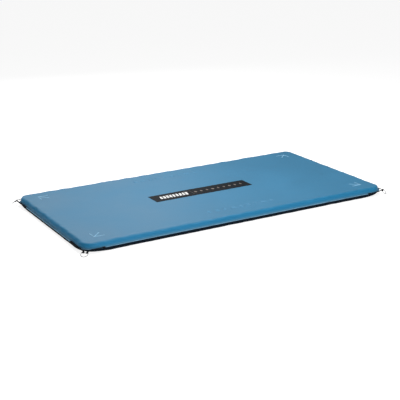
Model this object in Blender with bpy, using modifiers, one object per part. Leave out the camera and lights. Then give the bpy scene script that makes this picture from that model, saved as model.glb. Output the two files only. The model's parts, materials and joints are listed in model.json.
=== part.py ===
"""Self-inflating sleeping mat: two skins welded over a foam core, corner straps with D-rings, a screw valve.

X runs along the mat, Y across it and Z up. The origin is on the ground, under the middle of the mat.
Front is the -Y side and left is the -X side.
"""

import math

import bmesh
import bpy
from mathutils import Matrix, Vector

# The mat, in metres
LENGTH = 2.008
WIDTH = 1.06
THICKNESS = 0.053
SEAM_HEIGHT = 0.023
FLANGE_WIDTH = 0.008
SKIN_THICKNESS = 0.001
GAP = 0.0003
FOAM_CLEARANCE = 0.0018

# Plan and section of the mat
CORNER_RADIUS = 0.095
SHOULDER_RADIUS = 0.040
SOLE_RADIUS = 0.160
SHOULDER_RUN = 0.023
BILGE_RUN = 0.004
WAIST = 0.005
WAIST_END = 0.96
WAIST_POWER = 10
CORNER_STEPS = 5
SIDE_STEPS = 6
SECTION_STEPS = 4

# Prints on the top face
PRINT_THICKNESS = 0.0002
BADGE_LENGTH = 0.664
BADGE_WIDTH = 0.125
BADGE_CORNER = 0.002
MARK_FROM_SHORT_EDGE = 0.112
MARK_FROM_LONG_EDGE = 0.107
MARK_STROKE_LENGTH = 0.060
MARK_STROKE_WIDTH = 0.006

# Corner straps
STRAP_WIDTH = 0.0108
STRAP_THICKNESS = 0.0014
STRAP_INSET = 0.0020
LONG_STRAP_REACH = 0.131
SHORT_STRAP_REACH = 0.182
STRAP_LEAVES_FLANGE = 0.090
STRAP_START_PULL = 0.030
STRAP_END_PULL = 0.005
STRAP_DROP_START = 0.42
STRAP_STRAIGHT = 0.008
STRAP_TUCK_BEND = 0.002
STRAP_TUCK = 0.008
LOOP_GAP = 0.0004
FLANGE_STEPS = 3
FREE_STEPS = 7
LOOP_STEPS = 8
TACK_FROM_END = 0.006
TACK_LENGTH = 0.003
TACK_WIDTH = 0.0097
TACK_HEIGHT = 0.0008

# D-rings
WIRE = 0.0035
RING_DEPTH = 0.030
RING_HALF_WIDTH = 0.01975
RING_CORNER_RADIUS = 0.003
RING_STRAIGHT_END = 0.010
RING_BOW_STEPS = 16
RING_CORNER_STEPS = 3
LOOP_OFFSET = 0.0112

# Where each ring's bar hangs: in from the short edge, in from the long edge, and height
BAR_PLACES = {
    "back_right": (0.0090, 0.0080, 0.016),
    "back_left": (0.0060, 0.0020, 0.018),
    "front_left": (0.0150, 0.0040, 0.015),
    "front_right": (0.0085, 0.0165, 0.024),
}

# Screw valve on the right short edge
VALVE_Y = 0.270
VALVE_STEPS = 28
BARREL_RADIUS = 0.008
NECK_RADIUS = 0.0065
NECK_END = 0.016
BORE_RADIUS = 0.0046
GUARD_END = -0.042
GUARD_START = -0.0303
GUARD_RADIUS = 0.0070
GUARD_BORE = 0.0054
GUARD_SLOT_WIDTH = 0.004
GUARD_SLOT_DEPTH = 0.008
PLUG_SLOTS = 3
PLUG_SLOT_RADIUS = 0.001
PLUG_SLOT_FROM_AXIS = 0.0037
CAP_RADIUS = 0.012
CAP_GROOVES = 12
CAP_GROOVE_RADIUS = 0.0012
CAP_GROOVE_FROM_AXIS = 0.0126
HOLE_END = 0.004

# Base colours, linear red, green and blue
BLUE = (0.122, 0.305, 0.508)
BLACK = (0.012, 0.016, 0.022)
PALE_BLUE = (0.262, 0.515, 0.716)
YELLOW_FOAM = (0.72, 0.62, 0.38)
STEEL = (0.62, 0.63, 0.65)
RUBBER = (0.02, 0.02, 0.02)

CORNERS = {
    "back_right": (1, 1),
    "back_left": (-1, 1),
    "front_left": (-1, -1),
    "front_right": (1, -1),
}


def clear_scene():
    for obj in list(bpy.data.objects):
        bpy.data.objects.remove(obj)


def add_collection(name):
    collection = bpy.data.collections.new(name)
    bpy.context.scene.collection.children.link(collection)
    return collection


def add_material(name, colour, roughness, metallic=0.0):
    material = bpy.data.materials.new(name)
    material.use_nodes = True
    shader = material.node_tree.nodes["Principled BSDF"]
    shader.inputs["Base Color"].default_value = (*colour, 1)
    shader.inputs["Roughness"].default_value = roughness
    shader.inputs["Metallic"].default_value = metallic
    return material


def add_object(name, data, material, parent):
    """A named part in the mat's collection."""
    obj = bpy.data.objects.new(name, data)
    data.materials.clear()
    data.materials.append(material)
    parts.objects.link(obj)
    obj.parent = parent
    return obj


def add_empty(name, location=(0, 0, 0), rotation=(0, 0, 0), parent=None):
    empty = bpy.data.objects.new(name, None)
    empty.location = location
    empty.rotation_euler = rotation
    empty.parent = parent
    parts.objects.link(empty)
    return empty


def add_cutter(name, bm, parent):
    """A helper body that only Booleans use."""
    mesh = bpy.data.meshes.new(name)
    bm.to_mesh(mesh)
    bm.free()
    cutter = bpy.data.objects.new(name, mesh)
    cutter.hide_render = True
    cutter.display_type = "WIRE"
    cutter.parent = parent
    cutters.objects.link(cutter)
    return cutter


def cut(obj, cutter):
    boolean = obj.modifiers.new(cutter.name, "BOOLEAN")
    boolean.operation = "DIFFERENCE"
    boolean.object = cutter


def waist_share(place):
    """How much of the waist a side has: all in its middle, and none by the corners, at -1 and 1."""
    return max(0, 1 - (place / WAIST_END) ** WAIST_POWER) ** 2


def pull_in(x, y):
    """The plan point once the mat's sides have drawn in between its corners."""
    along = waist_share(y / (WIDTH / 2)) * WAIST / (LENGTH / 2)
    across = waist_share(x / (LENGTH / 2)) * WAIST / (WIDTH / 2)
    return x * (1 - along), y * (1 - across)


def corner_arc(index, inset, radius):
    """Plan points round one corner of the outline, counter-clockwise."""
    sign_x, sign_y = list(CORNERS.values())[index]
    centre_x = sign_x * (LENGTH / 2 - inset - radius)
    centre_y = sign_y * (WIDTH / 2 - inset - radius)
    angles = [math.pi / 2 * (index + step / CORNER_STEPS) for step in range(CORNER_STEPS + 1)]
    return [(centre_x + radius * math.cos(a), centre_y + radius * math.sin(a)) for a in angles]


def outline(inset, radius):
    """Plan points round the mat, moved in by inset. They stand closer together towards the corners."""
    arcs = [corner_arc(index, inset, radius) for index in range(4)]
    points = []
    for index, arc in enumerate(arcs):
        points += arc
        start = Vector(arc[-1])
        end = Vector(arcs[(index + 1) % 4][0])
        for step in range(1, 2 * SIDE_STEPS):
            share = (1 + math.sin(math.pi / 2 * (step / SIDE_STEPS - 1))) / 2
            points.append(tuple(start.lerp(end, share)))
    return [pull_in(x, y) for x, y in points]


def curved_side(edge, run, seam, face, edge_radius, face_radius):
    """Rows of (inset, height, corner radius) along a quarter ellipse from the seam to a flat face."""
    rows = []
    for step in range(SECTION_STEPS + 1):
        angle = math.pi / 2 * step / SECTION_STEPS
        inward = 1 - math.cos(angle)
        height = seam + (face - seam) * math.sin(angle)
        rows.append((edge + run * inward, height, edge_radius + (face_radius - edge_radius) * inward))
    return rows


def loft(rows):
    """A surface through the mat's outline at each row. Returns the bmesh and its rings of vertices."""
    bm = bmesh.new()
    rings = []
    for inset, height, radius in rows:
        rings.append([bm.verts.new((x, y, height)) for x, y in outline(inset, radius)])
    count = len(rings[0])
    for lower, upper in zip(rings, rings[1:]):
        for i in range(count):
            j = (i + 1) % count
            bm.faces.new((lower[i], lower[j], upper[j], upper[i]))
    return bm, rings


def finish_mesh(name, bm, material, parent):
    mesh = bpy.data.meshes.new(name)
    bm.to_mesh(mesh)
    bm.free()
    mesh.shade_smooth()
    mesh.set_sharp_from_angle(angle=math.radians(40))
    return add_object(name, mesh, material, parent)


def make_skin(name, seam, face, run, face_radius, material):
    """One skin: a flat welding flange, a curved side and a flat face, as thick as its fabric."""
    inner_radius = CORNER_RADIUS - FLANGE_WIDTH
    side = curved_side(FLANGE_WIDTH, run, seam, face, inner_radius, face_radius)
    bm, rings = loft([(0, seam, CORNER_RADIUS)] + side)
    bm.faces.new(rings[-1])
    if face < seam:
        bmesh.ops.reverse_faces(bm, faces=bm.faces)
    skin = finish_mesh(name, bm, material, mat)
    shell = skin.modifiers.new("fabric", "SOLIDIFY")
    shell.thickness = SKIN_THICKNESS
    shell.offset = -1
    shell.use_even_offset = True
    cut(skin, valve_hole)
    return skin


def make_foam_core(material):
    """The closed block of foam that fills the space between the skins."""
    edge = FLANGE_WIDTH + FOAM_CLEARANCE
    edge_radius = CORNER_RADIUS - edge
    low = curved_side(edge, BILGE_RUN, SEAM_HEIGHT, FOAM_CLEARANCE, edge_radius, SOLE_RADIUS)
    top = THICKNESS - FOAM_CLEARANCE
    high = curved_side(edge, SHOULDER_RUN, SEAM_HEIGHT, top, edge_radius, SHOULDER_RADIUS)
    bm, rings = loft(low[::-1] + high[1:])
    bm.faces.new(rings[0][::-1])
    bm.faces.new(rings[-1])
    core = finish_mesh("foam_core", bm, material, mat)
    cut(core, valve_hole)
    return core


def add_flat_outline(name, points, thickness):
    """A filled flat outline, thickness deep, as curve data that several objects can share."""
    curve = bpy.data.curves.new(name, "CURVE")
    curve.dimensions = "2D"
    curve.fill_mode = "BOTH"
    curve.extrude = thickness / 2
    spline = curve.splines.new("POLY")
    spline.points.add(len(points) - 1)
    for point, (x, y) in zip(spline.points, points):
        point.co = (x, y, 0, 1)
    spline.use_cyclic_u = True
    return curve


def print_height():
    """Height of the middle of a print film that lies on the top skin."""
    return THICKNESS + GAP + PRINT_THICKNESS / 2


def make_badge(material):
    """The long printed panel in the middle of the top face."""
    points = []
    for index, (sign_x, sign_y) in enumerate(CORNERS.values()):
        for step in range(CORNER_STEPS + 1):
            angle = math.pi / 2 * (index + step / CORNER_STEPS)
            x = sign_x * (BADGE_LENGTH / 2 - BADGE_CORNER) + BADGE_CORNER * math.cos(angle)
            y = sign_y * (BADGE_WIDTH / 2 - BADGE_CORNER) + BADGE_CORNER * math.sin(angle)
            points.append((x, y))
    curve = add_flat_outline("center_badge", points, PRINT_THICKNESS)
    badge = add_object("center_badge", curve, material, mat)
    badge.location.z = print_height()


def mark_outline():
    """Three strokes that meet in a point at the origin and spread over a quarter turn towards -X and -Y."""
    half = MARK_STROKE_WIDTH / 2
    reach = MARK_STROKE_LENGTH
    notch = half / math.sin(math.pi / 8)
    points = [Vector((half, half))]
    for index in range(3):
        turn = Matrix.Rotation(math.pi + index * math.pi / 4, 2)
        points.append(turn @ Vector((reach, -half)))
        points.append(turn @ Vector((reach, half)))
        if index < 2:
            between = math.pi + (index + 0.5) * math.pi / 4
            points.append(notch * Vector((math.cos(between), math.sin(between))))
    return [tuple(point) for point in points]


def make_corner_marks(material):
    curve = add_flat_outline("corner_mark", mark_outline(), PRINT_THICKNESS)
    for index, (corner, (sign_x, sign_y)) in enumerate(CORNERS.items()):
        mark = add_object(f"{corner}_corner_mark", curve, material, mat)
        x = sign_x * (LENGTH / 2 - MARK_FROM_SHORT_EDGE)
        y = sign_y * (WIDTH / 2 - MARK_FROM_LONG_EDGE)
        mark.location = (x, y, print_height())
        mark.rotation_euler.z = index * math.pi / 2


def strap_level():
    """Height of the middle of a strap where it lies on the flange."""
    return SEAM_HEIGHT + GAP / 2 + SKIN_THICKNESS + GAP + STRAP_THICKNESS / 2


def loop_radius():
    """From the middle of a ring's bar to the middle of the strap round it."""
    return WIRE / 2 + LOOP_GAP + STRAP_THICKNESS / 2


def loop_centre(corner, on_long_edge):
    """Where a strap's loop holds the bar, as (along the edge from the corner, in from the edge)."""
    shift = LOOP_OFFSET / math.sqrt(2)
    from_short_edge, from_long_edge, _ = BAR_PLACES[corner]
    if on_long_edge:
        return Vector((from_short_edge + shift, from_long_edge - shift))
    return Vector((from_long_edge + shift, from_short_edge - shift))


def bezier(start, start_pull, end_pull, end, share):
    rest = 1 - share
    near = rest**3 * start + 3 * rest**2 * share * start_pull
    return near + 3 * rest * share**2 * end_pull + share**3 * end


def strap_rows(reach, bar, bar_height):
    """The strap's middle line with its heading, from its sewn end round the bar and back under itself.

    A row is (along the edge from the corner, in from the edge, height, heading).
    """
    outward = Vector((-1, -1)) / math.sqrt(2)
    radius = loop_radius()
    level = strap_level()
    rows = []
    for step in range(FLANGE_STEPS):
        along = reach + (STRAP_LEAVES_FLANGE - reach) * step / FLANGE_STEPS
        rows.append((along, STRAP_INSET, level, math.pi))
    start = Vector((STRAP_LEAVES_FLANGE, STRAP_INSET))
    start_pull = start - Vector((STRAP_START_PULL, 0))
    end = bar - outward * STRAP_STRAIGHT
    end_pull = end - outward * STRAP_END_PULL
    for step in range(FREE_STEPS + 1):
        share = step / FREE_STEPS
        point = bezier(start, start_pull, end_pull, end, share)
        drop = max(0, share - STRAP_DROP_START) / (1 - STRAP_DROP_START)
        ease = drop * drop * (3 - 2 * drop)
        height = level + (bar_height + radius - level) * ease
        rows.append((point.x, point.y, height, math.pi * (1 + share**3 / 4)))
    for step in range(LOOP_STEPS + 1):
        angle = math.pi * (0.5 - step / LOOP_STEPS)
        point = bar + outward * radius * math.cos(angle)
        rows.append((point.x, point.y, bar_height + radius * math.sin(angle), math.pi * 1.25))
    under = bar_height + radius - STRAP_THICKNESS - GAP
    for inward, height in ((STRAP_TUCK_BEND, bar_height - radius), (STRAP_TUCK, under)):
        point = bar - outward * inward
        rows.append((point.x, point.y, height, math.pi * 1.25))
    return rows


def place_at_corner(point, signs, on_long_edge):
    """A point given from a corner, in the mat's own frame."""
    along, inward, height = point
    if on_long_edge:
        x, y = LENGTH / 2 - along, WIDTH / 2 - inward
    else:
        x, y = LENGTH / 2 - inward, WIDTH / 2 - along
    x, y = pull_in(signs[0] * x, signs[1] * y)
    return Vector((x, y, height))


def ribbon(rows, width, thickness, signs, on_long_edge):
    """A flat band along the rows, as a closed bmesh."""
    centres = [Vector(row[:3]) for row in rows]
    bm = bmesh.new()
    rings = []
    for index, (centre, row) in enumerate(zip(centres, rows)):
        before = centres[max(index - 1, 0)]
        after = centres[min(index + 1, len(rows) - 1)]
        heading = row[3]
        across = Vector((math.sin(heading), -math.cos(heading), 0)) * width / 2
        up = (after - before).cross(across).normalized() * thickness / 2
        section = (across + up, -across + up, -across - up, across - up)
        points = [place_at_corner(centre + offset, signs, on_long_edge) for offset in section]
        rings.append([bm.verts.new(point) for point in points])
    for first, second in zip(rings, rings[1:]):
        for i in range(4):
            j = (i + 1) % 4
            bm.faces.new((first[i], first[j], second[j], second[i]))
    bm.faces.new(rings[0][::-1])
    bm.faces.new(rings[-1])
    bmesh.ops.recalc_face_normals(bm, faces=bm.faces)
    return bm


def make_straps(strap_material, thread_material):
    """Two straps at each corner, one on each edge, each with a bar of stitches at its sewn end."""
    for corner, signs in CORNERS.items():
        for edge, reach in (("long", LONG_STRAP_REACH), ("short", SHORT_STRAP_REACH)):
            on_long_edge = edge == "long"
            course = strap_rows(reach, loop_centre(corner, on_long_edge), BAR_PLACES[corner][2])
            band = ribbon(course, STRAP_WIDTH, STRAP_THICKNESS, signs, on_long_edge)
            finish_mesh(f"{corner}_{edge}_strap", band, strap_material, mat)
            height = strap_level() + STRAP_THICKNESS / 2 + GAP + TACK_HEIGHT / 2
            middle = reach - TACK_FROM_END
            ends = (middle + TACK_LENGTH / 2, middle - TACK_LENGTH / 2)
            rows = [(along, STRAP_INSET, height, math.pi) for along in ends]
            tack = ribbon(rows, TACK_WIDTH, TACK_HEIGHT, signs, on_long_edge)
            finish_mesh(f"{corner}_{edge}_bartack", tack, thread_material, mat)


def ring_outline():
    """The middle line of a D-ring's wire: a straight bar along Y at the origin, and a bow out to +X."""
    points = []
    corner = RING_CORNER_RADIUS
    for step in range(RING_CORNER_STEPS + 1):
        angle = math.pi - math.pi / 2 * step / RING_CORNER_STEPS
        y = RING_HALF_WIDTH - corner + corner * math.sin(angle)
        points.append((corner + corner * math.cos(angle), y))
    bow = RING_DEPTH - RING_STRAIGHT_END
    for step in range(RING_BOW_STEPS + 1):
        angle = math.pi / 2 - math.pi * step / RING_BOW_STEPS
        x = RING_STRAIGHT_END + bow * math.cos(angle)
        points.append((x, RING_HALF_WIDTH * math.sin(angle)))
    for step in range(RING_CORNER_STEPS + 1):
        angle = -math.pi / 2 - math.pi / 2 * step / RING_CORNER_STEPS
        y = -RING_HALF_WIDTH + corner + corner * math.sin(angle)
        points.append((corner + corner * math.cos(angle), y))
    return points


def make_d_rings(material):
    """A wire ring at each corner. It hangs outward from its bar, with its tip just clear of the ground."""
    curve = bpy.data.curves.new("d_ring", "CURVE")
    curve.dimensions = "3D"
    curve.bevel_depth = WIRE / 2
    curve.bevel_resolution = 2
    points = ring_outline()
    spline = curve.splines.new("POLY")
    spline.points.add(len(points) - 1)
    for point, (x, y) in zip(spline.points, points):
        point.co = (x, y, 0, 1)
    spline.use_cyclic_u = True
    for index, (corner, (sign_x, sign_y)) in enumerate(CORNERS.items()):
        ring = add_object(f"{corner}_d_ring", curve, material, mat)
        from_short_edge, from_long_edge, height = BAR_PLACES[corner]
        x = sign_x * (LENGTH / 2 - from_short_edge)
        y = sign_y * (WIDTH / 2 - from_long_edge)
        droop = math.asin((height - WIRE / 2 - GAP) / RING_DEPTH)
        ring.location = (x, y, height)
        ring.rotation_euler = (0, droop, math.pi / 4 + index * math.pi / 2)


def turned(name, profile, material, is_tube):
    """A part turned about the valve's axis, from (radius, height) points down its outer side."""
    mesh = bpy.data.meshes.new(name)
    vertices = [(radius, 0, height) for radius, height in profile]
    edges = [(i, i + 1) for i in range(len(profile) - 1)]
    if is_tube:
        edges.append((len(profile) - 1, 0))
    mesh.from_pydata(vertices, edges, [])
    obj = add_object(name, mesh, material, valve)
    screw = obj.modifiers.new("turn", "SCREW")
    screw.steps = VALVE_STEPS
    screw.render_steps = VALVE_STEPS
    screw.use_merge_vertices = True
    screw.merge_threshold = 0.00001
    return obj


def rod_cutter(name, radius, start, end, places=((0, 0),), segments=24):
    """Straight round cutters along the valve's axis, at these places round it."""
    bm = bmesh.new()
    for x, y in places:
        where = Matrix.Translation((x, y, (start + end) / 2))
        bmesh.ops.create_cone(
            bm,
            cap_ends=True,
            segments=segments,
            radius1=radius,
            radius2=radius,
            depth=end - start,
            matrix=where,
        )
    return add_cutter(name, bm, valve)


def spaced_round(count, radius):
    """Points evenly spaced on a circle."""
    angles = [2 * math.pi * index / count for index in range(count)]
    return [(radius * math.cos(a), radius * math.sin(a)) for a in angles]


def make_seal(name, height, inner_radius, wire_radius, material):
    """An O-ring about the valve's axis."""
    bpy.ops.mesh.primitive_torus_add(
        major_segments=24,
        minor_segments=8,
        major_radius=inner_radius + wire_radius,
        minor_radius=wire_radius,
    )
    helper = bpy.context.object
    mesh = helper.data
    bpy.data.objects.remove(helper)
    mesh.shade_smooth()
    seal = add_object(name, mesh, material, valve)
    seal.location.z = height
    return seal


def make_valve_body(material):
    """The fixed tube: a barrel welded between the skins, a collar outside them and a neck for the cap."""
    profile = [
        (NECK_RADIUS, NECK_END),
        (NECK_RADIUS, 0.0025),
        (0.0095, 0.0025),
        (0.0095, 0.0005),
        (BARREL_RADIUS, 0.0005),
        (BARREL_RADIUS, -0.012),
        (GUARD_RADIUS, -0.013),
        (GUARD_RADIUS, -0.030),
        (BORE_RADIUS, -0.030),
        (BORE_RADIUS, NECK_END),
    ]
    turned("valve_body", profile, material, True)


def make_foam_guard(material):
    """A four-pronged collar that keeps the foam off the inner end of the valve."""
    profile = [
        (GUARD_RADIUS, GUARD_START),
        (GUARD_RADIUS, GUARD_END),
        (GUARD_BORE, GUARD_END),
        (GUARD_BORE, GUARD_START),
    ]
    guard = turned("valve_foam_guard", profile, material, True)
    bm = bmesh.new()
    size = Matrix.Diagonal((4 * GUARD_RADIUS, GUARD_SLOT_WIDTH, 2 * GUARD_SLOT_DEPTH, 1))
    for turn in (0, math.pi / 2):
        where = Matrix.Translation((0, 0, GUARD_END)) @ Matrix.Rotation(turn, 4, "Z")
        bmesh.ops.create_cube(bm, size=1, matrix=where @ size)
    cross = add_cutter("guard_slots", bm, valve)
    cut(guard, cross)


def make_plug(material):
    """The fixed stopper: a spoked foot inside the bore, a stem, and a head that fills the cap's mouth."""
    profile = [
        (0, 0.020),
        (0.0026, 0.020),
        (0.0034, 0.0192),
        (0.0034, 0.018),
        (0.0022, 0.018),
        (0.0022, 0.010),
        (BORE_RADIUS - GAP, 0.010),
        (BORE_RADIUS - GAP, 0.008),
        (0, 0.008),
    ]
    plug = turned("valve_plug", profile, material, False)
    places = spaced_round(PLUG_SLOTS, PLUG_SLOT_FROM_AXIS)
    cut(plug, rod_cutter("plug_slots", PLUG_SLOT_RADIUS, 0.007, 0.011, places, 12))


def make_cap(material):
    """The grooved cap with its mouth. It turns and travels out along the neck to open the valve."""
    bore = NECK_RADIUS + GAP
    profile = [
        (0.0063, 0.0245),
        (0.0070, 0.0238),
        (0.0070, 0.0190),
        (0.0112, 0.0176),
        (CAP_RADIUS, 0.0166),
        (CAP_RADIUS, 0.0050),
        (0.0113, 0.0042),
        (bore, 0.0042),
        (bore, 0.0060),
        (0.0085, 0.0060),
        (0.0085, 0.0082),
        (bore, 0.0082),
        (bore, 0.0165),
        (0.0040, 0.0165),
        (0.0040, 0.0205),
        (0.0053, 0.0216),
        (0.0053, 0.0245),
    ]
    cap = turned("valve_cap", profile, material, True)
    places = spaced_round(CAP_GROOVES, CAP_GROOVE_FROM_AXIS)
    cut(cap, rod_cutter("cap_grooves", CAP_GROOVE_RADIUS, 0.003, 0.019, places, 8))


def make_valve(plastic, rubber):
    make_valve_body(plastic)
    make_foam_guard(plastic)
    make_plug(plastic)
    make_cap(plastic)
    make_seal("valve_plug_seal", 0.0171, 0.0022 + GAP, 0.0006, rubber)
    make_seal("valve_cap_seal", 0.0071, NECK_RADIUS + GAP, 0.0007, rubber)


clear_scene()
parts = add_collection("sleeping_mat")
cutters = add_collection("cutters")
mat = add_empty("mat")
edge_x = pull_in(LENGTH / 2, VALVE_Y)[0]
valve = add_empty("valve", (edge_x, VALVE_Y, SEAM_HEIGHT), (0, math.pi / 2, 0), mat)
valve_hole = rod_cutter("valve_hole", BARREL_RADIUS + GAP, GUARD_END - 0.001, HOLE_END)

blue_fabric = add_material("blue_fabric", BLUE, 0.62)
black_fabric = add_material("black_fabric", BLACK, 0.75)
foam = add_material("foam", YELLOW_FOAM, 0.95)
webbing = add_material("webbing", BLACK, 0.85)
thread = add_material("thread", BLACK, 0.7)
steel = add_material("steel", STEEL, 0.25, 1.0)
badge_print = add_material("badge_print", BLACK, 0.45)
mark_print = add_material("mark_print", PALE_BLUE, 0.5)
valve_plastic = add_material("valve_plastic", BLACK, 0.4)
seal_rubber = add_material("seal_rubber", RUBBER, 0.6)

top_seam = SEAM_HEIGHT + GAP / 2 + SKIN_THICKNESS
bottom_seam = SEAM_HEIGHT - GAP / 2 - SKIN_THICKNESS
make_skin("top_skin", top_seam, THICKNESS, SHOULDER_RUN, SHOULDER_RADIUS, blue_fabric)
make_skin("bottom_skin", bottom_seam, 0, BILGE_RUN, SOLE_RADIUS, black_fabric)
make_foam_core(foam)
make_badge(badge_print)
make_corner_marks(mark_print)
make_straps(webbing, thread)
make_d_rings(steel)
make_valve(valve_plastic, seal_rubber)
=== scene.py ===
"""Looks of the self-inflating sleeping mat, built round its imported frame.

The two skins are lofted over the mat's outline and puffed by a short cloth simulation. Prints are draped
over the finished top. Straps, stitches, rings, foam and valve follow the same dimensions as the frame.
"""

import json
import math

import bmesh
import bpy
import numpy as np
from mathutils import Matrix, Vector, noise
from mathutils.bvhtree import BVHTree


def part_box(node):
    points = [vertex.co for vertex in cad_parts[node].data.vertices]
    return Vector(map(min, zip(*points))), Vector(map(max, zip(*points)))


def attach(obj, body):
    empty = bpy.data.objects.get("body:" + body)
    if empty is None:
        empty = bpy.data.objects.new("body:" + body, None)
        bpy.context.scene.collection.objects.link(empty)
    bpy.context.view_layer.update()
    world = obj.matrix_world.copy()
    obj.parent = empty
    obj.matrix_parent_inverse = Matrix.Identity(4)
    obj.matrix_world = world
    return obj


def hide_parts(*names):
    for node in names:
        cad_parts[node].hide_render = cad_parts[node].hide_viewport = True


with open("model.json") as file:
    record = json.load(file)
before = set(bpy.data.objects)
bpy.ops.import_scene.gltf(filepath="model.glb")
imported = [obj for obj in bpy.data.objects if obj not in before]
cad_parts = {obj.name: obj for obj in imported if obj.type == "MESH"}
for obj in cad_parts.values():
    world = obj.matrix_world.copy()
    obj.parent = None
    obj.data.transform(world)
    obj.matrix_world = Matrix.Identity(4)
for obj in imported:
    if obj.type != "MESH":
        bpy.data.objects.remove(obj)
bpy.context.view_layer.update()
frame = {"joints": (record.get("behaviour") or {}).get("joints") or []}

# Places read from the frame, in metres
JOINTS = {joint["name"]: joint for joint in frame["joints"]}
VALVE = Vector(JOINTS["valve_cap_turn"]["pos_m"])
VALVE_FRAME = Matrix.Translation(VALVE) @ Matrix.Rotation(math.pi / 2, 4, "Y")
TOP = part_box("top_skin")[1].z
TOP_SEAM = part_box("top_skin")[0].z + 0.001
BOTTOM_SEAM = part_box("bottom_skin")[1].z - 0.001

# How far each ring's bar hangs in from the short edge and from the long edge
BAR_PLACES = {
    "back_right": (0.0090, 0.0080),
    "back_left": (0.0060, 0.0020),
    "front_left": (0.0150, 0.0040),
    "front_right": (0.0085, 0.0165),
}

# Plan and section of the mat
HALF_LENGTH = JOINTS["back_right_ring_swing"]["pos_m"][0] + BAR_PLACES["back_right"][0]
HALF_WIDTH = JOINTS["back_right_ring_swing"]["pos_m"][1] + BAR_PLACES["back_right"][1]
FLANGE_WIDTH = 0.008
SKIN_THICKNESS = 0.0011
CORNER_RADIUS = 0.095
SHOULDER_RADIUS = 0.040
SOLE_RADIUS = 0.160
SHOULDER_RUN = 0.023
BILGE_RUN = 0.004
WAIST = 0.005
WAIST_END = 0.96
WAIST_POWER = 10
RIM_DEPTH = 0.150
CORNER_SIGNS = [(1, 1), (-1, 1), (-1, -1), (1, -1)]
CORNER_NAMES = list(BAR_PLACES)

# Mesh density of the skins
CELLS_LONG = 200
CELLS_SHORT = 106
RIM_CELLS = 2 * (CELLS_LONG + CELLS_SHORT)
FLANGE_ROWS = 4
SIDE_ROWS = 12
FACE_ROWS = 8

# Cloth that puffs the mat's sides: starting ripples, spare length as a share, pressure, frames, and how far
# it may move out and in
RIPPLE = 0.0012
CLOTH_SLACK = 0.008
CLOTH_PRESSURE = 2.0
CLOTH_FRAMES = 20
MOST_PUFF = 0.0018
MOST_SINK = 0.0006

# Printed films, and how far above the skin they lie
FILM_CELL = 0.010
FILM_THICKNESS = 0.00015
PRINT_LIFT = 0.0002
OVERPRINT_LIFT = 0.0005

# Straps
STRAP_WIDTH = 0.0108
STRAP_THICKNESS = 0.0016
STRAP_INSET = 0.0020
STRAP_REACH = {"long": 0.131, "short": 0.182}
STRAP_LEAVES_FLANGE = 0.090
STRAP_START_PULL = 0.030
STRAP_END_PULL = 0.005
STRAP_DROP_START = 0.42
STRAP_STRAIGHT = 0.008
STRAP_TUCK = 0.008
STRAP_GAP = 0.0003
HEM_LENGTH = 0.014
HEM_RISE = 0.0016

# D-rings
WIRE = 0.0035
RING_DEPTH = 0.030
RING_HALF_WIDTH = 0.01975
RING_CORNER_RADIUS = 0.003
RING_STRAIGHT_END = 0.010
LOOP_OFFSET = 0.0112

# A strap's middle line: its height on the flange, and its radius round the bar
STRAP_LEVEL = TOP_SEAM + STRAP_GAP + STRAP_THICKNESS / 2
LOOP_RADIUS = WIRE / 2 + 0.0001 + STRAP_THICKNESS / 2

# The skins' arch over the valve: how high, how far to each side and how deep in from the edge
ARCH_HEIGHT = 0.010
ARCH_REACH = 0.030
ARCH_DEPTH = 0.016

# Camera: place in metres, turns in degrees and lens in millimetres
CAMERA_PLACE = (-2.795, -5.046, 1.827)
CAMERA_AZIMUTH = 28.92
CAMERA_ELEVATION = 17.63
CAMERA_ROLL = 1.11
CAMERA_LENS = 88.9

# Sky and floor light
SKY_STRENGTH = 0.18
FLOOR_GLOW = 0.85

# Softboxes: place, aim and size in metres, and power in watts
SOFTBOXES = {
    "key_light": ((0.15, 0.0, 2.3), (0.1, 0.0, 0.0), 1.8, 65),
    "haze_light": ((0.35, 3.4, 2.15), (-0.6, -0.1, 0.0), 2.9, 34),
    "fill_light": ((-0.2, -4.2, 1.0), (0.0, -0.5, 0.0), 2.2, 86),
}


# ---------------- materials


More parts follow.
